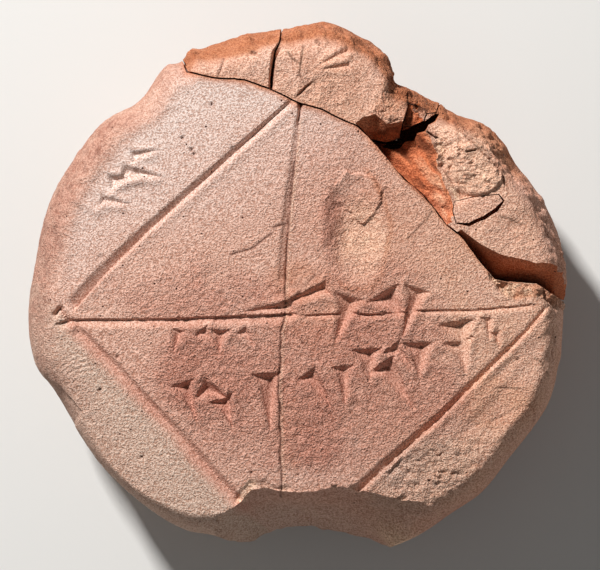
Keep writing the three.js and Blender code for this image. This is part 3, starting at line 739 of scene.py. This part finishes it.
def dense_loop(corners):
    """A closed plan loop with points every WALL_STEP near the tablet, and its inward directions."""
    loop = []
    for (x0, y0), (x1, y1) in zip(corners, corners[1:] + corners[:1]):
        beside = min(math.hypot(x0, y0), math.hypot(x1, y1)) < WALL_LIMIT
        parts = max(1, round(math.hypot(x1 - x0, y1 - y0) / WALL_STEP)) if beside else 1
        loop += [(x0 + (x1 - x0) * k / parts, y0 + (y1 - y0) * k / parts) for k in range(parts)]
    loop = np.array(loop)
    ahead = np.roll(loop, -1, axis=0) - np.roll(loop, 1, axis=0)
    area = np.sum(loop[:, 0] * np.roll(loop[:, 1], -1) - loop[:, 1] * np.roll(loop[:, 0], -1))
    inward_side = np.stack([-ahead[:, 1], ahead[:, 0]], axis=1) * np.sign(area)
    return loop, inward_side / np.linalg.norm(inward_side, axis=1, keepdims=True)


def facing_out(made):
    """Turns every face of a closed object outward."""
    shell = bmesh.new()
    shell.from_mesh(made.data)
    bmesh.ops.recalc_face_normals(shell, faces=shell.faces)
    shell.to_mesh(made.data)
    shell.free()
    return made


def rough_prism(name, corners, inset, bottom=-1.0, top=29.0):
    """An upright solid over a plan loop, its walls broken like fractured clay.

    The walls wander by a field that depends on place alone, so two pieces that share a crack fit."""
    loop, inward_side = dense_loop(corners)
    levels = np.linspace(bottom, top, max(2, round((top - bottom) / WALL_LEVEL)))
    rows, faces = [], []
    for z in levels:
        here = np.column_stack([loop, np.full(len(loop), z)])
        wander = [
            0.16 * crumb(here, 2.6, 41 + k) + 0.5 * noise(here, 9, 45 + k) * (1 - z / THICKNESS)
            for k in (0, 10)
        ]
        rows.append(np.column_stack([loop + inward_side * inset + np.stack(wander, axis=1), here[:, 2]]))
    count = len(loop)
    for r in range(len(levels) - 1):
        for i in range(count):
            k = (i + 1) % count
            faces.append((r * count + i, r * count + k, (r + 1) * count + k, (r + 1) * count + i))
    for r, order in ((0, -1), (len(levels) - 1, 1)):
        cap = tessellate_polygon([[Vector((x, y, 0)) for x, y in rows[r][:, :2]]])
        faces += [tuple(r * count + v for v in face[::order]) for face in cap]
    return facing_out(as_object(name, np.concatenate(rows), faces, orange_fracture))


def cut(made, tool, operation="DIFFERENCE"):
    """Takes one closed solid from another, or keeps what they share, and removes the tool."""
    step = made.modifiers.new(operation, "BOOLEAN")
    step.object, step.operation, step.solver = tool, operation, "MANIFOLD"
    depsgraph = bpy.context.evaluated_depsgraph_get()
    mesh = bpy.data.meshes.new_from_object(made.evaluated_get(depsgraph))
    made.modifiers.clear()
    made.data = mesh
    bpy.data.objects.remove(tool)
    return made


UPWARD = (0, 0, 20)
# A broken face starts this share of its fall above its upper edge, to cut right through the skin.
OVERSHOOT = 0.25


def broken_face(name, tops, feet, texture, reach, step=0.3, sweep=UPWARD, material=orange_fracture):
    """A solid in front of a broken face that falls from one line to another, swept along a vector."""
    tops, feet = np.array(tops, float), np.array(feet, float)
    lengths = np.linalg.norm(np.diff(tops, axis=0), axis=1) + np.linalg.norm(np.diff(feet, axis=0), axis=1)
    place = np.concatenate([[0], np.cumsum(lengths)])
    columns = np.linspace(0, place[-1], max(2, round(place[-1] / 2 / step)))
    top_line, foot_line = (
        np.column_stack([np.interp(columns, place, ends[:, k]) for k in range(3)]) for ends in (tops, feet)
    )
    rows = round(np.max(np.linalg.norm(tops - feet, axis=1)) * (reach + OVERSHOOT) / step)
    fall = np.linspace(-OVERSHOOT, reach, rows)
    sheet = top_line[None] + (foot_line - top_line)[None] * fall[:, None, None]
    flat = sheet.reshape(-1, 3)
    flat = flat + texture(flat)[:, None] * (np.array(sweep) / np.linalg.norm(sweep))
    count, columns = len(flat), len(columns)
    faces = []
    for r in range(rows - 1):
        for c in range(columns - 1):
            a, b = r * columns + c, (r + 1) * columns + c
            faces.append((a, a + 1, b + 1, b))
            faces.append((count + a, count + b, count + b + 1, count + a + 1))
    border = list(range(columns)) + [r * columns + columns - 1 for r in range(1, rows)]
    border += [(rows - 1) * columns + c for c in range(columns - 2, -1, -1)]
    border += [r * columns for r in range(rows - 2, 0, -1)]
    for a, b in zip(border, border[1:] + border[:1]):
        faces.append((a, count + a, count + b, b))
    return facing_out(as_object(name, np.concatenate([flat, flat + sweep]), faces, material))


def knob(points):
    """1 on the round lump that stands out of the bite."""
    return bump(np.hypot(points[:, 0] - 14.6, (points[:, 2] - 15.5) / 1.3), 2.7)


def layered(points):
    """Relief of the bite: broad scoops, level layers in the clay, and crumbs."""
    scoops = 0.5 * crumb(points, 4, 51)
    layers = 0.16 * noise(points * (0.2, 0.2, 1.4), 1, 55) + 0.1 * crumb(points, 0.9, 57)
    return 2.2 * knob(points) - scoops - layers


def skinned(name, relief, fine, lines):
    """The whole bun in clay skin, its points slid onto the drawn lines and then raised by the relief."""
    points, triangles = blank_mesh(fine)
    points = slid_to(points, lines)
    points = points + outward(points, triangles) * relief(points)[:, None]
    points[:, 2] = np.clip(points[:, 2], 0, THICKNESS - TOP_SLACK)
    return as_object(name, points, triangles, clay_skin)


# The spacing of the mesh's points over the face, in millimetres.
FINE = 0.25
line_shapes = [(route, widths, leans) for route, widths, _, leans, *_ in DRAWN_LINES]
line_shapes += [(route, (width, width), (0, 0)) for route, width, _ in FINE_CRACKS]
body = skinned("body_clay", body_relief, FINE, line_shapes)
sherd_side = TOP_LEFT_CRACK + TOP_CRACK[1:] + BODY_EDGE[1:] + FAR_CORNER
body = cut(body, rough_prism("sherd_space", sherd_side, -CRACK_WIDTH / 2))
break_tops = [(x, y, float(obverse_height(x, y))) for (x, y), _ in LOWER_BREAK]
break_feet = [(x, y, float(reverse_height(x, y))) for _, (x, y) in LOWER_BREAK]
body = cut(body, broken_face(
    "bite", break_tops, break_feet, layered, 1.5, sweep=(0, -30, 0), material=grey_break,
))


# Broken edges turn this sharply, in degrees, and anything gentler is shaded as one smooth skin.
SHARP_TURN = 42


def stain(made, masks):
    """Writes the masks that the clay materials read, worked out from where the points lie."""
    mesh = made.data
    points = np.empty(len(mesh.vertices) * 3, np.float32)
    mesh.vertices.foreach_get("co", points)
    points = points.reshape(-1, 3).astype(float) / MM
    for name, values in masks(points).items():
        layer = mesh.attributes.new(name, "FLOAT", "POINT")
        layer.data.foreach_set("value", np.clip(values, 0, 1).astype(np.float32))
    mesh.shade_smooth()
    mesh.set_sharp_from_angle(angle=math.radians(SHARP_TURN))


def rim_orange(points):
    """Orange where handling has rubbed the soft rim, most of all along the top and left."""
    angle, fraction = rim_place(points)
    return smooth(fraction, 0.88, 0.99) * (0.3 + 0.55 * bump(angle - 118, 42) + 0.3 * bump(angle - 60, 30))


def ashen(points):
    """0 to 1 where a pale bloom lies on the skin, most of all at the upper left."""
    return smooth(0.9 * points[:, 1] - 0.43 * points[:, 0] + 4 * noise(points, 9, 76), 5, 33)


# Where the fire turned the skin more orange: middle, half width and height, how far.
FIRED_PLACES = [
    ((15, 6), 14, 11, 0.28), ((6, -6), 10, 5, 0.4), ((-0.8, -20), 2.4, 8, 0.45), ((1, 0), 6, 4, 0.4),
    ((29, -17), 7, 5, 0.5),
]
LOWER_LEFT_LINE = [(-36, -2), (-28.8, -10.3), (-18.6, -20.9), (-6, -35)]


def body_masks(points):
    """What each wash of the clay covers on the body, from 0 to 1."""
    x, y, z = points.T
    front, side = front_share(z), 1 - smooth(z, 14, 24)
    rightward = smooth(x, 5, 25)
    marks, worn, left_rim = drawn_relief(points), worn_red(points), left_edge(points)
    outside_left = smooth(-line_place(x, y, LOWER_LEFT_LINE)[0], -0.6, 1.2)
    ruled_left = bump(line_place(x, y, DRAWN_LINES[1][0])[0], 1.1) * front
    torn, lumpy = torn_corner(points, 0.8), patch(x, y, (18, -28), 9, 5, 30)
    edge_away = line_place(x, y, TOP_LEFT_CRACK + TOP_CRACK[1:] + BODY_EDGE[1:])[0]
    orange = np.maximum.reduce([
        0.3 * rim_orange(points), 0.2 * smooth(x - 0.2 * y, -6, 14) * front, strongest(x, y, FIRED_PLACES),
        0.7 * bump(hollow_spread(points) - 0.98, 0.1) * smooth(x - 0.3 * y, 3, 7),
        0.8 * bump(edge_away, 0.7) * front, 0.85 * torn * front, 0.45 * side * rightward,
    ])
    # The glue line is painted dark on its left, as a dark joint with painted shade, and pale on its right as
    # a painted highlight on its lit edge.
    mend_away = line_place(x, y, MEND)[0]
    mend_away += 0.05 * noise(points, 1.4, 11) + 0.08 * noise(points, 6, 14)
    on_mend = (y < 24) * front
    cracks = sum(bump(line_place(x, y, route)[0], 0.14) for route, _, _ in FINE_CRACKS[1:8])
    pit_depth = np.clip(-pin_holes(points) - pits(points, 9, 5, 0.24, 0.4), 0, 1)
    # The left rim, which the lamp lights most, is painted darker as painted shade with some change of hue:
    # its pale bloom is taken away and red, buff and the dark wash are laid on.
    return {
        "ashen": np.maximum(ashen(points) * (1 - left_rim), 0.3 * patch(x, y, (6, -26), 12, 4)) * front
        + 0.2 * (1 - front) * (x < 0),
        "red": np.maximum.reduce([
            worn * (1 - 0.9 * outside_left) * front, 0.6 * ruled_left, 0.5 * left_rim, 0.7 * side * rightward,
        ]),
        "buff": np.maximum.reduce([outside_left * 0.85, 0.6 * lumpy, 0.5 * left_rim])
        + 0.4 * side * (1 - rightward),
        "orange": orange,
        # The dark wash: painted shade with some dirt in drawn marks, pits and cracks, painted shade on the
        # left rim, and along the mend a dark joint with painted shade.
        "grime_and_shade": np.maximum.reduce([
            np.clip(smooth(-marks, 0.4, 1.3) * 0.3 + 1.8 * pit_depth + 0.8 * cracks, 0, 1) * front,
            left_rim * (0.2 + 0.3 * smooth(0.5 - crumbly(points, 1.5, 48), 0, 0.3)),
            0.9 * bump(mend_away + 0.05, 0.13) * on_mend,
        ]),
        "pale": 0.22 * smooth(x, 5, 30) * front * (1 - worn) + 0.3 * bump(mend_away - 0.3, 0.14) * on_mend
        + 0.3 * patch(x, y, (9.2, 6.2), 4, 6) + 0.9 * knob(points) * (y < -28)
        + (0.15 + 0.35 * (x < -6)) * edge_chips(points)
        + 0.5 * torn * smooth(noise(points, 1.1, 77), 0, 0.6),
        "grain": 0.12 + (0.55 * worn + 0.2 * (1 - ashen(points))) * (1 - 0.8 * smooth(-marks, 0.05, 0.3))
        + 0.5 * lumpy + 0.6 * torn + 0.3 * left_rim,
    }


stain(body, body_masks)
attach(body, "root")
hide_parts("body")


# ==== Rim sherds ====
# Pieces of the rim that broke away and were fitted back: two at the top, a small bridging chip, a thin
# flake and the long right-hand one, whose upper part has lost its skin down to the orange clay.

BETWEEN_TOP_SHERDS = [(-3.9, 28.2), (-3.8, 30.6), (-3.4, 33.8), (-2.5, 35.6), (-2.1, 41)]
TOP_TO_RIGHT = [(12.8, 20.6), (14.9, 21.3), (15.2, 23.1)]
TOP_TO_CHIP = [(15.2, 23.1), (15.9, 25.5), (16, 28.4), (16.8, 31.5)]
CHIP_TO_RIGHT = [
    (22.6, 30), (20.7, 26.3), (20.1, 25), (18.6, 24.8), (18.2, 23.8), (16.3, 22.9), (15.2, 23.1),
]
TOP_LEFT_REGION = TOP_LEFT_CRACK[:6] + BETWEEN_TOP_SHERDS + [(-2.1, 60), (-40, 60)]
TOP_REGION = BETWEEN_TOP_SHERDS[::-1] + TOP_LEFT_CRACK[6:] + TOP_CRACK[1:5] + TOP_TO_RIGHT \
    + TOP_TO_CHIP[1:] + [(30, 60), (-2.1, 60)]
RIGHT_REGION = [TOP_CRACK[4]] + BODY_EDGE + [(60, -6), (60, 60), (38, 60)] + CHIP_TO_RIGHT \
    + TOP_TO_RIGHT[1::-1]
CHIP_REGION = TOP_TO_CHIP + CHIP_TO_RIGHT[:6]
FLAKE_REGION = [
    (22.7, 12), (25.3, 12.7), (29, 13), (29.5, 12), (28.5, 10.9), (26.9, 9.9), (24.6, 8.8),
    (22.9, 8.9), (22.5, 10.5),
]
SCAR_REGION = [
    (22.65, 12.04), (25.25, 12.78), (29.05, 13.1), (29.75, 12), (28.85, 10.45), (27.05, 9.35), (24.7, 8.35),
    (22.8, 8.8), (22.42, 10.5),
]
HOLE_REGION = [
    (12.4, 20), (13.4, 21.1), (15, 22.3), (16.5, 22.9), (18.2, 23.7), (20, 24.8), (20.6, 24.8), (19.9, 23.6),
    (18.9, 23.1), (18.4, 22.1), (17.2, 21.8), (16.8, 20.9), (15.6, 20.7), (14.8, 19.7), (13.6, 19.6),
]
HOLE_DEPTH, SCAR_DEPTH, FLAKE_THICKNESS = 12, 3.0, 2.6
CHIP_TOP = 23.0
# The round patch that has lost its skin, then all such patches with how coarse each is.
DISC = ((25.4, 16.6), 4.7, 3.9)
GRANULAR_PLACES = [
    (*DISC, 1), ((3.5, 28), 5, 3, -25, 0.5), ((21.8, 19.6), 3.4, 3.4, 1), ((17.5, 25.4), 2.6, 2.6, 1),
    ((28.6, 20.4), 6, 3, -50, 0.7),
]
# On the right sherd: a sunken plate, the step down to its rim, ridges on that, and the slope's upper edge.
SUNKEN_PLATE = [(20.6, 17.2), (23.8, 12.4), (26.2, 12.7), (25, 15), (22, 18.4)]
RIM_STEP = [(22.7, 25), (23.8, 22.2), (25.9, 20.1), (31, 16), (36, 9)]
RIM_RIDGES = [[(23.2, 23.9), (24.4, 21.6), (26.2, 19.9)], [(27, 21.9), (28.6, 19.8)]]
SLOPE_EDGE = [(18.4, 24.6), (20.8, 20.9), (21.2, 17), (23.4, 12.8)]
# Fine cracks and scratches: route, width, depth.
SHERD_CRACKS = [
    ([(-10.9, 32.6), (-11.2, 31.4), (-11.7, 29.9)], 0.4, 0.25),
    ([(-0.4, 26.9), (1.2, 28.6), (2.2, 29.3)], 0.6, 0.8),
    ([(-1.6, 33.7), (-0.7, 32.5), (0.3, 31.8)], 0.4, 0.3),
    ([(0.7, 34.6), (0.5, 32.6), (0.2, 30.4), (0.9, 28.8)], 0.35, 0.25),
    ([(18.6, 22.2), (20.5, 21.1)], 0.6, 1.0),
    ([(24.1, 19.1), (25.9, 19.4)], 0.5, 0.6),
    ([(29.2, 9.8), (30.6, 9.4), (32.3, 8.6)], 0.3, 0.1),
    ([(15.9, 26.3), (17.2, 25.9), (18.8, 25.2)], 0.8, 1.4),
    ([(-3.9, 27.6), *BETWEEN_TOP_SHERDS[1:4]], 1.0, 1.8),
    ([(22.7, 23.7), (23.6, 22.2), (25.7, 20.1), (29.6, 16.2), (30.4, 13.6)], 0.5, 0.5),
]
# Sideways wedges on the top sherd: head, direction in degrees, head width, length, depth.
TOP_SHERD_STROKES = [((7.6, 34.2), 209, 1.6, 6.0, 0.6), ((7.4, 31.6), 187, 1.4, 5.0, 0.5)]


def granular(x, y):
    """0 to 1 where a sherd's skin is gone and coarse clay shows."""
    top_end = smooth(x - 0.35 * (y - 24), 9.4, 11.4) * (x < 17) * (y > 20)
    return np.maximum(top_end, strongest(x, y, GRANULAR_PLACES))


def sherd_relief(points):
    """How far the rim sherds' skin stands above the blank."""
    x, y = points[:, 0], points[:, 1]
    relief = 0.14 * noise(points, 14, 1) + 0.12 * noise(points, 4, 2)
    relief += 0.05 * crumb(points, 0.9, 3) + 0.16 * crumb(points, 3.4, 86)
    marks = granular(x, y) * (0.5 * crumbly(points, 1.1, 81) - 0.3)
    for head, direction, width, length, depth in TOP_SHERD_STROKES:
        marks += pressed(points, head, math.radians(direction), width, length, depth)
    marks += sum(crack(points, *line) for line in SHERD_CRACKS)
    marks += pin_holes(points) + pits(points, 12, 9, 0.2, 0.35, 38)
    marks += 0.45 * (1 - smooth(oval(x, y, *DISC) + 0.08 * noise(points, 2.5, 82), 0.88, 1.0))
    marks -= 0.55 * plate(x, y, SUNKEN_PLATE, 0.6)
    marks -= 0.5 * smooth(line_place(x, y, RIM_STEP)[0], 0, 0.7) * (x > 20)
    for route in RIM_RIDGES:
        marks += 0.35 * bump(line_place(x, y, route)[0], 0.5) * patch(x, y, route[1], 3, 3)
    marks -= 1.0 * bump(line_place(x, y, SLOPE_EDGE)[0], 1.3) * (x > 16) * (x < 25)
    marks += smooth(rim_fraction(x, y), 0.9, 0.97) * (0.9 * crumbly(points, 2.6, 84) - 0.9)
    return relief + front_share(points[:, 2]) * marks - SKIN_SLACK


# Broken faces: at each station, a place on the upper edge, the place below it at the foot, and the fall.
ORANGE_FACE = [
    ((18.4, 24.6), (10.6, 21.8), 6.5), ((19.2, 22.4), (12.2, 19.4), 6.5), ((20.8, 20.9), (14.4, 16.5), 5.5),
    ((21.2, 17), (17, 13.8), 4.5), ((23.4, 12.8), (19.4, 11.2), 3.2), ((22.9, 9.2), (21.3, 8.5), 1.6),
]


def strands(points):
    """Ridges of torn clay that run beside the body's edge, from -1 to 1."""
    x, y, z = points.T
    along, across = (x - y) / math.sqrt(2), (x + y) / math.sqrt(2)
    across += 0.5 * noise(points, 3, 90)
    return noise(np.column_stack([along / 3.2, across / 0.75, z / 3]), 1, 91)


def fibrous(points):
    """Torn fibres with lumps and crumbs between them."""
    return 0.4 * crumb(points, 2.6, 92) + 0.45 * strands(points) + 0.25 * crumbly(points, 0.9, 95) - 0.15


def sherd_masks(points):
    """What each wash of the clay covers on the rim sherds, from 0 to 1."""
    x, y, z = points.T
    front, low = front_share(z), 1 - smooth(z, 15, 24)
    coarse = granular(x, y) * front
    outer = smooth(rim_fraction(x, y) + 0.02 * noise(points, 3, 72), 0.87, 0.95)
    edge_away = line_place(x, y, TOP_LEFT_CRACK + TOP_CRACK[1:])[0]
    cracks = sum(bump(line_place(x, y, route)[0], 0.16) for route, _, _ in SHERD_CRACKS)
    slope_outline = [foot for _, foot, _ in ORANGE_FACE] + [top for top, _, _ in ORANGE_FACE][::-1]
    on_slope = plate(x, y, slope_outline, 0.5) * (z < obverse_height(x, y) - SKIN_SLACK - 0.8)
    return {
        "ashen": 0.25 * front * (1 - outer) * (1 - smooth(x, -4, 4)),
        "red": 0.3 * smooth(noise(points, 4, 74), 0, 0.8) * (x < 20) * (1 - outer),
        "buff": 0.5 * on_slope * smooth(x - 0.3 * y, 13, 18),
        "orange": np.maximum.reduce([
            rim_orange(points) + 0.8 * outer * smooth(y, 12, 22), 0.55 * coarse * (x < 18),
            0.55 * bump(edge_away, 0.8), 0.22 + 0.1 * noise(points, 5, 73),
        ]),
        # The dark wash is painted shade: in cracks and pin-holes, on the low broken faces, along the top of
        # the rim, and in the clefts between torn strands on the slope.
        "grime_and_shade": np.clip(0.8 * cracks + 2 * np.clip(-pin_holes(points), 0, 1), 0, 1) * front
        + np.clip(
            (0.8 * smooth(-y, -13, -7) + 0.5 * smooth(y, 17, 21)) * low * (1 - outer)
            + 0.22 * outer * smooth(y, 16, 24)
            + 0.5 * smooth(-strands(points), 0.2, 0.7) * on_slope, 0, 1,
        ),
        "pale": front * (0.2 * (1 - outer) * (1 - on_slope) + 0.22 * coarse * (x > 20))
        + 0.75 * smooth(strands(points), 0.1, 0.6) * on_slope * smooth(x, 15, 22),
        "grain": 0.3 + 0.5 * coarse * (x < 20),
    }


SHERD_FINE = 0.2
crack_shapes = [(route, (width, width), (0, 0)) for route, width, _ in SHERD_CRACKS]
rim_clay = skinned("rim_clay", sherd_relief, SHERD_FINE, crack_shapes)


def sherd(node, region, inset, bottom=-1.0):
    """One piece of the rim, cut from the bun by its own fracture walls."""
    made = rim_clay.copy()
    made.data = rim_clay.data.copy()
    made.name = node + "_clay"
    bpy.context.scene.collection.objects.link(made)
    made = cut(made, rough_prism(made.name + "_space", region, inset, bottom), "INTERSECT")
    made.data.name = made.name
    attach(made, "root")
    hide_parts(node)
    return made


def slope(stations):
    """The upper edge and the foot of a broken face, from its stations."""
    tops = [(x, y, float(obverse_height(x, y))) for (x, y), _, _ in stations]
    feet = [(fx, fy, float(obverse_height(x, y)) - fall) for (x, y), (fx, fy), fall in stations]
    return tops, feet


def sheared(points):
    """A steep clean face with a few facets."""
    return 0.5 * crumb(points, 4, 96) + 0.08 * crumb(points, 0.9, 99)


def crumbling(points):
    """A face broken into big crumbs."""
    return 1.1 * crumbly(points, 1.6, 102) - 0.8


TOP_FACET = [
    ((8.2, 23.4), (9.4, 21.6), 1.5), ((11.2, 24.7), (10.8, 20.4), 5), ((12.8, 23.2), (13, 20.4), 5),
    ((16.4, 24), (15.6, 20.6), 6),
]
DARK_FACE = [
    ((23.8, 8), (22.9, 7.4), 2.5), ((26.4, 5.9), (25.3, 4.6), 7), ((30.4, 4.1), (28.4, 0.8), 9),
    ((34.4, 3), (34.2, -0.4), 9), ((37.5, 2.8), (37.4, -2.4), 8.5), ((43, 2.6), (43, -5), 8),
]

top_left_sherd = sherd("top_left_sherd", TOP_LEFT_REGION, CRACK_WIDTH / 2)
stain(top_left_sherd, sherd_masks)

top_sherd = sherd("top_sherd", TOP_REGION, CRACK_WIDTH / 2)
top_sherd = cut(top_sherd, broken_face("facet_cut", *slope(TOP_FACET), sheared, 1.3))
stain(top_sherd, sherd_masks)

# The chip and the flake stand this far clear of their neighbours.
SLIM_GAP = 0.05
bridge_chip = sherd("bridge_chip", CHIP_REGION, SLIM_GAP)
# The chip's crumbled top is level, and this face reaches past it on all sides.
chip_tops, chip_feet = ([(12, y, CHIP_TOP), (26, y, CHIP_TOP)] for y in (33, 21))
bridge_chip = cut(bridge_chip, broken_face("chip_top", chip_tops, chip_feet, crumbling, 1.2, 0.2))
stain(bridge_chip, sherd_masks)

right_sherd = sherd("right_sherd", RIGHT_REGION, CRACK_WIDTH / 2)
right_sherd = cut(right_sherd, broken_face("trough_cut", *slope(ORANGE_FACE), fibrous, 1.1, 0.18))
right_sherd = cut(right_sherd, broken_face("dark_cut", *slope(DARK_FACE), sheared, 1.2))
# Both of these cuts go straight down from the skin over their middles.
hole_floor = float(obverse_height(16, 21)) - HOLE_DEPTH
scar_floor = float(obverse_height(26, 10.5)) - SCAR_DEPTH
for name, region, bottom in (("hole", HOLE_REGION, hole_floor), ("scar", SCAR_REGION, scar_floor)):
    right_sherd = cut(right_sherd, rough_prism(name, region, 0, bottom, top=30))
stain(right_sherd, sherd_masks)

flake = sherd("flake", FLAKE_REGION, SLIM_GAP, scar_floor + SCAR_DEPTH - FLAKE_THICKNESS)
stain(flake, sherd_masks)
bpy.data.objects.remove(rim_clay)


# ==== Floor, light and camera ====
# A pale matt board under a plain soft studio light from the upper left, seen from straight above.

# The width of the frame at the face, and how far its middle lies from the tablet's, in millimetres.
FACE_WIDTH_IN_VIEW, VIEW_MIDDLE = 86.8, (0.25, -0.18)
camera_data = bpy.data.cameras.new("camera")
camera_data.lens = 250
camera_data.clip_start = 0.01
view_height = THICKNESS + FACE_WIDTH_IN_VIEW * camera_data.lens / camera_data.sensor_width
camera = placed("camera", camera_data)
camera.location = [value * MM for value in (*VIEW_MIDDLE, view_height)]
bpy.context.scene.camera = camera

# Half the board's side in millimetres, and in metres how far below the tablet it lies, so that the two
# never share a surface.
FLOOR_HALF, FLOOR_DROP = 900, 0.0002
floor_paint = bpy.data.materials.new("pale_matt_board")
floor_paint.use_nodes = True
floor_paint.node_tree.nodes["Principled BSDF"].inputs["Base Color"].default_value = hex_linear("d8d6d2")
corners = [(x * FLOOR_HALF, y * FLOOR_HALF, 0) for x, y in ((-1, -1), (1, -1), (1, 1), (-1, 1))]
floor = as_object("floor", corners, [(0, 1, 2, 3)], floor_paint)
floor.location.z = -FLOOR_DROP

# A small soft box rakes the face, and a weak one opposite it opens the shadows at the foot. Each: compass
# direction and height in degrees, distance and width in millimetres, and watts.
LAMPS = {"key": (122, 38, 900, 90, 13.2), "fill": (-60, 32, 600, 260, 0.2)}
for name, (around, up, away, width, watts) in LAMPS.items():
    lamp_data = bpy.data.lights.new(name, "AREA")
    lamp_data.energy = watts
    lamp_data.size = width * MM
    lamp = placed(name, lamp_data)
    around, up = math.radians(around), math.radians(up)
    toward = Vector((math.cos(around) * math.cos(up), math.sin(around) * math.cos(up), math.sin(up)))
    lamp.location = toward * away * MM
    lamp.rotation_euler = toward.to_track_quat("Z", "Y").to_euler()

world = bpy.data.worlds.new("studio")
world.use_nodes = True
world.node_tree.nodes["Background"].inputs["Color"].default_value = (1, 1, 1, 1)
world.node_tree.nodes["Background"].inputs["Strength"].default_value = 0.13
bpy.context.scene.world = world
bpy.context.scene.view_settings.view_transform = "Standard"
